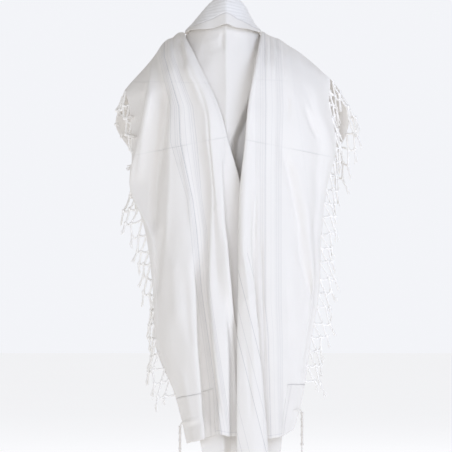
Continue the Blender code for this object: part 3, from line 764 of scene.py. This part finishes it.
def cross_height(points, creases):
    """How far the short creases that run across stand out, in mm."""
    total = np.zeros(points.shape[:2])
    for x0, z0, x1, z1, width, height in creases:
        way = np.array([x1 - x0, z1 - z0], float)
        long = np.linalg.norm(way)
        way /= long
        x, z = points[..., 0] - x0, points[..., 2] - z0
        run, off = x * way[0] + z * way[1], z * way[0] - x * way[1]
        fade = smooth_step(run / long * 3.0) * smooth_step((long - run) / long * 3.0)
        total += height * fade * np.exp(-((off / width) ** 2))
    return total


def uneven(points, size, height, seed):
    """Soft uneven waves of about this size, in mm."""
    rng = np.random.default_rng(seed)
    total = np.zeros(points.shape[:2])
    for _ in range(9):
        way = unit(rng.normal(size=3) * (1.0, 1.0, 0.35))
        turn = 2 * math.pi / (size * rng.uniform(0.6, 1.7))
        total += np.sin(points @ way * turn + rng.uniform(0, 6.3))
    return total * height / 3.0


def band_map(grid, points, v, w, side):
    """How far across the woven stripes each point is, in mm: by where it hangs, then on over the shoulder.

    first and last are the fold lines between which the stripes can show.
    """
    first, last = (2, 12) if side == "left" else (3, 9)
    heights, places = table(BAND_AT[side])
    down, across = spans(grid)
    low, high = (np.interp(points[..., 2], heights, column) for column in places.T)
    run = (points[..., 0] - low) / (high - low) * BAND_WIDE
    over = v > down[len(FOLD_AT) + 3]
    run[over] = run[~over][-1]
    place = np.interp(w, across, np.arange(len(across)))
    run[:, (place < first) | (place > last)] = -50.0
    return run


def wing_fine(side):
    """One wing's fine points, and where each is across and down the cloth, in mm."""
    grid = wing_sections(side)
    down, across = spans(grid)
    v = np.concatenate([np.linspace(0, 220, 45), np.linspace(220, down[-1], 151)[1:]])
    w = np.concatenate([np.linspace(0, across[-3], 225), np.linspace(across[-3], across[-1], 25)[1:]])
    points = on_sheet(grid, v, w)
    left = side == "left"
    n = grid_normals(points) * (1.0 if left else -1.0)
    behind = smooth_step((-points[..., 1] + 6.0) / 40.0)        # the creases are the back's only
    fold = across[-3]
    shown = smooth_step((fold - w) / 6.0)[None, :]
    out = (crease_height(points, CREASES[side]) + cross_height(points, CROSS_CREASES)) * behind * shown
    edge_calm = smooth_step(w / 18.0)[None, :] * smooth_step((fold + 4 - w) / 24.0)[None, :]
    out = out * (0.4 + 0.6 * edge_calm) + uneven(points, 75.0, 0.9, 3 if left else 5) * edge_calm
    # In front there are plain ripples instead.
    ripple = np.sin(w / across[-1] * 2 * math.pi * 5.0 + 0.7)[None, :] * 3.0 * edge_calm
    out = out + (1.0 - behind) * ripple * smooth_step((v - down[-5]) / 160.0)[:, None]
    return grid, points + n * out[..., None], v, w


def maps_for(points, v, w, side, run):
    """The maps that a wing's material reads, in metres."""
    x, z = points[..., 0], points[..., 2]
    press = pair(*(z - (z_at + (x + x_off) * slope) for z_at, x_off, slope in PRESSED[side]))
    return {"cloth": pair(w[None, :], v[:, None]), "press": press, "band": pair(run, 0.0)}


def pleat_map(points, w, across):
    """The stripes that slant down the right wing's inner pleat: distance across them, and where they show."""
    x, z = points[..., 0], points[..., 2]
    run = x - 46.0 + (z + 896.0) * 0.25 + 200.0
    place = np.interp(w, across, np.arange(len(across)))
    on = ((place >= 8.0) & (place <= 10.2)).astype(float)[None, :] * (z < -640.0)
    return np.stack([run * MM, on], axis=-1)


# ---- Yarn ----
def frames_along(path):
    """Two directions square to a path at each of its points."""
    way = unit(np.gradient(path, axis=0))
    side = unit(np.cross(way, (0.31, 0.87, 0.12)))
    return side, np.cross(way, side)


class Yarn:
    """Collects tubes and knots into one mesh, in mm."""

    def __init__(self):
        self.points, self.faces, self.count = [], [], 0

    def tube(self, path, radius, sides=5):
        radius = np.broadcast_to(np.asarray(radius, float), (len(path),))
        a, b = frames_along(path)
        turn = np.arange(sides) * 2 * math.pi / sides
        ring = a[:, None, :] * np.cos(turn)[None, :, None] + b[:, None, :] * np.sin(turn)[None, :, None]
        points = path[:, None, :] + ring * radius[:, None, None]
        base = self.count
        self.points.append(points.reshape(-1, 3))
        for i in range(len(path) - 1):
            for k in range(sides):
                p, q = base + i * sides + k, base + i * sides + (k + 1) % sides
                self.faces.append((p, q, q + sides, p + sides))
        self.faces.append(tuple(base + k for k in range(sides - 1, -1, -1)))
        last = base + (len(path) - 1) * sides
        self.faces.append(tuple(last + k for k in range(sides)))
        self.count += len(path) * sides

    def plied(self, path, radius, pitch=7.0, phase=0.0, step=2.6):
        """Two plies twisted round each other along a path."""
        length = run_along(path)
        at = np.linspace(0, length[-1], max(int(length[-1] / step), 3) + 1)
        fine = np.column_stack([np.interp(at, length, path[:, c]) for c in range(3)])
        a, b = frames_along(fine)
        for ply in (0.0, math.pi):
            turn = at * 2 * math.pi / pitch + phase + ply
            centre = fine + (a * np.cos(turn)[:, None] + b * np.sin(turn)[:, None]) * radius * 0.62
            self.tube(centre, radius * 0.66)

    def knot(self, centre, radius, long, way):
        """A knot drawn out along a way, with a turn of yarn round it."""
        way = unit(np.asarray(way, float))
        rings, sides = 6, 8
        path = np.array([centre + way * radius * long * t for t in np.cos(np.linspace(math.pi, 0, rings))])
        size = radius * np.sin(np.linspace(0.25, math.pi - 0.25, rings))
        self.tube(path, size, sides)
        turns = np.linspace(0, 4 * math.pi, 22)
        a, b = frames_along(np.array([centre - way, centre + way]))
        coil = (centre + way * np.linspace(-0.55, 0.55, 22)[:, None] * radius * long
                + (a[0] * np.cos(turns)[:, None] + b[0] * np.sin(turns)[:, None]) * radius * 0.92)
        self.tube(coil, radius * 0.34, 4)

    def mesh(self, name):
        mesh = bpy.data.meshes.new(name)
        mesh.from_pydata((np.vstack(self.points) * MM).tolist(), [], self.faces)
        return mesh


def sag(a, b, drop, steps=7):
    """A slack strand from a to b."""
    t = np.linspace(0, 1, steps)[:, None]
    return a * (1 - t) + b * t + np.array([0, 0, -1.0]) * (4 * t * (1 - t) * drop)


def add_net(name, grid, swing, reach, sign, seed, material):
    """The knotted fringe along one short edge: two rows of knots and loose ends below."""
    rng = np.random.default_rng(seed)
    ends = from_hem(grid, PATCH_SIDE, False) + 6, spans(grid)[0][-1] - from_hem(grid, PATCH_SIDE, True) - 6
    v = np.linspace(*ends, 300)
    run = run_along(on_sheet(grid, v, 0.0)[:, 0])
    count = int(round(run[-1] / TUFT_EVERY)) + 1
    steps = np.linspace(0, run[-1], count)
    steps[1:-1] += rng.uniform(-6.0, 6.0, count - 2)
    v = np.interp(steps, run, v)
    line, out, share = edge_line(grid, v, swing, reach, sign)
    yarn = Yarn()
    down = np.array([0, 0, -1.0])
    roots = line - out

    def jitter(size):
        return rng.normal(size=3) * size

    def strand(a, b, drop):
        yarn.plied(sag(a, b, drop), YARN_RADIUS, phase=rng.uniform(0, 6))

    def tassel(top, lean, length):
        """Loose ends below a knot: a short plied neck, then threads that spread."""
        end = top + lean + down * length
        yarn.plied(sag(top, top + (end - top) * 0.4, 0.5), YARN_RADIUS * 1.1, phase=rng.uniform(0, 6))
        for _ in range(TASSEL_THREADS):
            tip = end + jitter(3.0) + down * rng.uniform(-6, 4)
            t = np.linspace(0.0, 1.0, 8)[:, None]
            bend = top + (end - top) * 0.45 + jitter(1.5)
            yarn.tube(top * (1 - t) ** 2 + bend * 2 * t * (1 - t) + tip * t * t, 1.15, 4)

    close = np.clip((0.72 - share) / 0.15, 0.0, 1.0)
    tuck = close * (line[:, 1] > 30.0)
    firsts, seconds = [], []
    for i in range(count - 1):
        way = unit(out[i] + out[i + 1])
        far = share[i] * (1 - TUCKED_IN * tuck[i])
        middle = (roots[i] + roots[i + 1]) / 2 + np.array([0, 7.0, 0]) * tuck[i]
        low = rng.uniform(*ROW_DOWN[0]) * (1 - tuck[i])
        firsts.append(middle + way * rng.uniform(*ROW_OUT[0]) * far + down * low + jitter(2.4))
    for i in range(count - 2):
        lower = i if firsts[i][2] < firsts[i + 1][2] else i + 1
        far = share[i + 1] * (1 - TUCKED_IN * tuck[i + 1])
        spot = firsts[lower] * 0.8 + firsts[2 * i + 1 - lower] * 0.2
        spot = spot + out[i + 1] * rng.uniform(*ROW_OUT[1]) * far
        seconds.append(spot + down * rng.uniform(*ROW_DOWN[1]) * (1 - 0.8 * tuck[i + 1]) + jitter(2.6))
    for i in range(count):
        yarn.knot(roots[i] + out[i] * 2.0, 3.2, 0.9, out[i])
        for k in (i - 1, i):
            if 0 <= k < count - 1:
                strand(roots[i] + jitter(0.6), firsts[k], rng.uniform(*ROW_SLACK[0]) * (1 - tuck[k]))
    for i, knot in enumerate(firsts):
        yarn.knot(knot, 4.2, 1.25, down + jitter(0.3))
        for k in (i - 1, i):
            if 0 <= k < len(seconds):
                strand(knot, seconds[k], rng.uniform(*ROW_SLACK[1]) * (1 - tuck[i]))
    for i, knot in enumerate(seconds):
        yarn.knot(knot, 4.3, 1.3, down + jitter(0.3))
        tucked = close[i + 1]
        lean = out[i + 1] * (rng.uniform(0, 16) * (1 - tucked) - 36.0 * tucked) + jitter(3.5)
        tassel(knot, lean, rng.uniform(*TASSEL_LONG) * (1 - 0.6 * tucked))
    for i in (0, len(firsts) - 1):
        tassel(firsts[i], out[i] * rng.uniform(0, 8) + jitter(2.0), rng.uniform(20, 26))
    return add_piece(name, yarn.mesh(name), material)


def add_corner_cord(place, side, grid, facing, sign, strand_material, wound_material):
    """The eight strands of one corner: through the hole, over the edge, wound, then loose."""
    at_front = place == "front"
    rng = np.random.default_rng({"back": 11, "front": 23}[place] + (0 if side == "left" else 5))
    v = from_end(grid, from_hem(grid, PATCH_HOLE_IN[1], at_front), at_front)
    w = from_edge(grid, PATCH_HOLE_IN[0], at_front)
    near = on_sheet(grid, np.array([v - 2, v, v + 2]), np.array([w - 2, w, w + 2]))
    n = grid_normals(near)[1, 1] * facing
    hole = near[1, 1]
    edge = on_sheet(grid, v, 0.0)[0, 0]
    outward = unit(edge - on_sheet(grid, v, 12.0)[0, 0])
    top = edge + (sign * 7.0, 0.0, -6.0)
    for k in range(STRANDS):
        turn = 2 * math.pi * k / STRANDS
        face = 1.0 if k % 2 == 0 else -1.0
        lift = n * face * (2.4 + CLOTH_THICK / 2)
        fan = (k // 2 - 1.5) * 0.9
        start = hole + n * face * 1.4
        over = edge + outward * 3.0 + n * face * 1.2 + (0, 0, fan * 0.6)
        mid = hole * 0.5 + edge * 0.5 + lift + (0, 0, fan)
        path = [start, hole * 0.8 + edge * 0.2 + lift, mid, hole * 0.15 + edge * 0.85 + lift * 0.9, over]
        ring = np.array([math.cos(turn), math.sin(turn), 0])
        for depth in np.linspace(6, CORD_WOUND, 8):
            path.append(top + ring * BUNDLE_RADIUS + (0, 0, -depth))
        spread = rng.uniform(4.0, 8.0)
        sway = rng.uniform(0, 6.3)
        for depth in np.linspace(14, CORD_LOOSE - rng.uniform(2, 22), 9):
            share = depth / CORD_LOOSE
            drift = np.array([math.cos(sway + share * 5), math.sin(sway + share * 4), 0]) * 1.6 * share
            apart = BUNDLE_RADIUS + (spread - BUNDLE_RADIUS) * share ** 0.7
            path.append(top + ring * apart + drift + (0, 0, -CORD_WOUND - depth))
        path = np.array(path) * MM
        curve = bpy.data.curves.new(f"strand_{place}_{side}_{k + 1}", "CURVE")
        curve.dimensions = "3D"
        curve.bevel_depth = STRAND_RADIUS * MM
        curve.bevel_resolution = 2
        curve.use_fill_caps = True
        spline = curve.splines.new("POLY")
        spline.points.add(len(path) - 1)
        for point, where in zip(spline.points, path, strict=True):
            point.co = (*where, 1.0)
        strand = add_piece(curve.name, curve, strand_material)
    wound = Yarn()
    depth = 4.0
    for turns in WINDINGS:
        wound.knot(top + (0, 0, -depth - 2.0), 4.1, 0.9, (0.15, 0.1, 1.0))
        depth += CORD_KNOT_STEP
        t = np.linspace(0, turns, turns * 9)
        run = turns * COIL_STEP
        turn = t * 2 * math.pi
        coil = np.column_stack([np.cos(turn) * COIL_RADIUS, np.sin(turn) * COIL_RADIUS, -t / turns * run])
        wound.tube(coil + top + (0, 0, -depth), COIL_YARN)
        depth += run + 2.0
    wound.knot(top + (0, 0, -depth - 2.0), 4.3, 0.9, (0.1, -0.1, 1.0))
    name = f"winding_{place}_{side}"
    binding = add_piece(name, wound.mesh(name), wound_material)
    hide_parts(f"cord_{place}_{side}")


# ---- The camera, the light and the floor ----
def build_stage():
    """A camera behind the shawl, soft lights, a pale room and a pale floor."""
    scene = bpy.context.scene
    camera = bpy.data.cameras.new("camera")
    camera.lens, camera.sensor_width = CAMERA_LENS, CAMERA_SENSOR
    holder = put("camera", camera)
    holder.location = CAMERA_AT
    holder.rotation_euler = (math.radians(90), 0, 0)
    scene.camera = holder

    for name, spot, size, power, tint in LIGHTS:
        light = bpy.data.lights.new(name, "AREA")
        light.energy, light.size, light.color = power, size, tint
        lamp = put(name, light)
        lamp.location = spot
        lamp.rotation_euler = (Vector(LIT_POINT) - Vector(spot)).to_track_quat("-Z", "Y").to_euler()

    # The room lights the cloth in one tone and is seen behind it in a paler one.
    world = bpy.data.worlds.new("studio")
    world.use_nodes = True
    scene.world = world
    nodes, links = world.node_tree.nodes, world.node_tree.links
    room, seen = nodes["Background"], nodes.new("ShaderNodeBackground")
    for node, (tint, power) in ((room, ROOM_LIGHT), (seen, ROOM_SEEN)):
        node.inputs[0].default_value = (*tint, 1.0)
        node.inputs[1].default_value = power
    ray, pick = nodes.new("ShaderNodeLightPath"), nodes.new("ShaderNodeMixShader")
    for socket, place in zip((ray.outputs["Is Camera Ray"], room.outputs[0], seen.outputs[0]), pick.inputs):
        links.new(socket, place)
    links.new(pick.outputs[0], nodes["World Output"].inputs[0])

    mesh = bpy.data.meshes.new("floor")
    half, low = FLOOR_HALF, CAD_BOX[0][2] - FLOOR_DROP
    mesh.from_pydata([(-half, -half, low), (half, -half, low), (half, half, low), (-half, half, low)], [],
                     [(0, 1, 2, 3)])
    s = Shader("floor", 0.9, glow=FLOOR_GLOW)
    mesh.materials.append(s.colour(s.mix(s.noise(s.spot(), 1.5, 2.0), *FLOOR_GREYS)))
    put("floor", mesh)
    scene.view_settings.view_transform = "Standard"
    scene.view_settings.look = "None"


# ---- The pieces ----
def add_panel(plain):
    """The back panel, which folds away beside the right wing; with its flat size."""
    grid = panel_grid()
    down, across = spans(grid)
    v, w = np.linspace(0, down[-1], 200), np.linspace(0, across[-1], 150)
    points = on_sheet(grid, v, w)
    n = grid_normals(points)
    x, z = points[..., 0], points[..., 2]
    out = crease_height(points, PANEL_CREASES) + cross_height(points, PANEL_CROSS)
    out = out + uneven(points, 95.0, 0.7, 8)
    top_fade = smooth_step((down[-1] - v) / 90.0)[:, None]     # all folds die away at the neck
    spine = SPINE_RIDGE * np.exp(-np.abs(x - SPINE_X) / 9.0) * smooth_step((z + 400.0) / 130.0)
    heights, starts = table(GAP_START)
    start, deep = (np.interp(z, heights, column) for column in starts.T)
    gap = deep * smooth_step((x - start) / GAP_ROUND) * smooth_step((20.0 - z) / 60.0)
    points = points + n * ((out + spine) * top_fade)[..., None] + np.array([0, 1.0, 0]) * gap[..., None]
    # Beside the neck it is lifted up under the collar's tips.
    under_tips = smooth_step((z + 60.0) / 50.0) * np.exp(-(((np.abs(x + 8.0) - 104.0) / 16.0) ** 2))
    points = points + np.array([0.0, 0.0, 11.0]) * under_tips[..., None]
    maps = {"cloth": pair(w[None, :] + 300.0, v[:, None]), "press": np.full((*x.shape, 2), FAR)}
    panel = add_shell("panel_cloth", points, maps, SHELL_THICK, plain)
    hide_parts("back_panel")
    return panel, (across[-1] * MM, down[-1] * MM)


def add_collar(plain, ribbed):
    """The turned top edge, and the ribbed band sewn on it; with the collar's flat size."""
    grid = collar_grid()
    down, across = spans(grid)
    v, w = np.linspace(0, down[-1], 90), np.linspace(0, across[-1], 260)
    points = on_sheet(grid, v, w)
    n = grid_normals(points) * -1.0
    x, y, z = points[..., 0], points[..., 1], points[..., 2]
    back = smooth_step((-y - 10.0) / 30.0)
    # Its two tips stand out sideways.
    tips = smooth_step((np.abs(x) - 70.0) / 24.0) * smooth_step((30.0 - z) / 28.0)
    tips = tips * smooth_step((30.0 - y) / 40.0)
    points = points + np.array([1.0, -0.3, 0.0]) * (np.sign(x) * tips * 8.0)[..., None]
    # The ribs run round the neck, partly level and partly along the turned edge.
    rib_run = v[:, None] * 0.45 - (z - z[:1].max()) * 0.55
    flap = smooth_step(v / down[-1] * 2.0)[:, None]
    ridge = COLLAR_RIDGE * np.exp(-np.abs(x - SPINE_X) / 20.0) * back * flap
    points = points + n * (ridge + uneven(points, 60.0, 0.8, 2) * flap)[..., None]
    maps = {"cloth": pair(w[None, :] + 100.0, down[-1] - v[:, None]), "press": np.full((*x.shape, 2), FAR)}
    collar = add_shell("collar_cloth", points, maps, SHELL_THICK, plain, facing=-1.0)
    rows = (v >= down[-1] * BAND_FROM) & (v <= down[-1] * BAND_TO)
    columns = (w >= across[-1] * BAND_ENDS) & (w <= across[-1] * (1 - BAND_ENDS))
    strip, normal, run = (part[rows][:, columns] for part in (points, n, rib_run))
    ribs = np.cos(run * 2 * math.pi / RIB_PITCH)[..., None] * RIB_HEIGHT
    band = add_shell("neckband_ribbed", strip + normal * (0.8 + ribs), {"cloth": pair(run, w[None, columns])},
                     0.8, ribbed, lift=0.5, facing=-1.0)
    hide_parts("collar_fold")
    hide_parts("neckband")
    return collar, (across[-1] * MM, down[-1] * MM), band


def add_wing(side, wool, corner, yarn, strand, wound):
    """One wing with its fringe, corner squares and cords; with its flat size and what is sewn to it."""
    left = side == "left"
    facing, sign = (1.0, -1.0) if left else (-1.0, 1.0)
    grid, points, v, w = wing_fine(side)
    down, across = spans(grid)
    long = down[-1]
    maps = maps_for(points, v, w, side, band_map(grid, points, v, w, side))
    if not left:
        maps["pleat"] = pleat_map(points, w, across)
    wing = add_shell(f"wing_cloth_{side}", points, maps, SHELL_THICK, wool, facing=facing)
    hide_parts(f"wing_{side}")
    net = add_net(f"fringe_net_{side}", grid, SWING[side], REACH[side], sign, 31 if left else 47, yarn)
    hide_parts(f"fringe_{side}")
    sewn = [net]
    for place, at_front in (("back", False), ("front", True)):
        high = from_hem(grid, PATCH_SIDE, at_front)
        shown = PATCH_SIDE if left or at_front else SHOWN_RIGHT
        wide = from_edge(grid, shown, at_front)
        deep = long - v if at_front else v
        rows, columns = deep <= high, w <= wide
        part, cloth = (values[rows][:, columns] for values in (points, maps["cloth"]))
        far = pair((1 - deep[rows] / high)[:, None] * PATCH_SIDE, (1 - w[columns] / wide)[None, :] * shown)
        patch = add_shell(f"corner_square_{place}_{side}", part, {"cloth": cloth, "press": far}, PATCH_SHELL,
                          corner, lift=PATCH_LIFT, facing=facing)
        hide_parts(f"corner_{place}_{side}")
        sewn.append(patch)
        add_corner_cord(place, side, grid, facing, sign, strand, wound)
    return wing, (across[-1] * MM, long * MM), sewn


def main():
    """The stage, the materials, then every piece and what each cloth was cut to."""
    build_stage()
    wool = wool_material("wool_weave", BAND_LINES)
    faint = [(at, wide, min(dark * RIGHT_LINES_DARK, 0.5) + 0.12 * (dark > 0.9))
             for at, wide, dark in BAND_LINES]
    wool_pleats = wool_material("wool_weave_pleats", faint, pleat_lines=True)
    plain = wool_material("wool_plain")
    ribbed = band_material("neckband_ribs")
    corner = corner_material("corner_weave")
    yarns = [yarn_material(*look) for look in YARNS]
    panel, panel_flat = add_panel(plain)
    collar, collar_flat, band = add_collar(plain, ribbed)
    wings = [add_wing(side, look, corner, *yarns) for side, look in (("left", wool), ("right", wool_pleats))]


main()
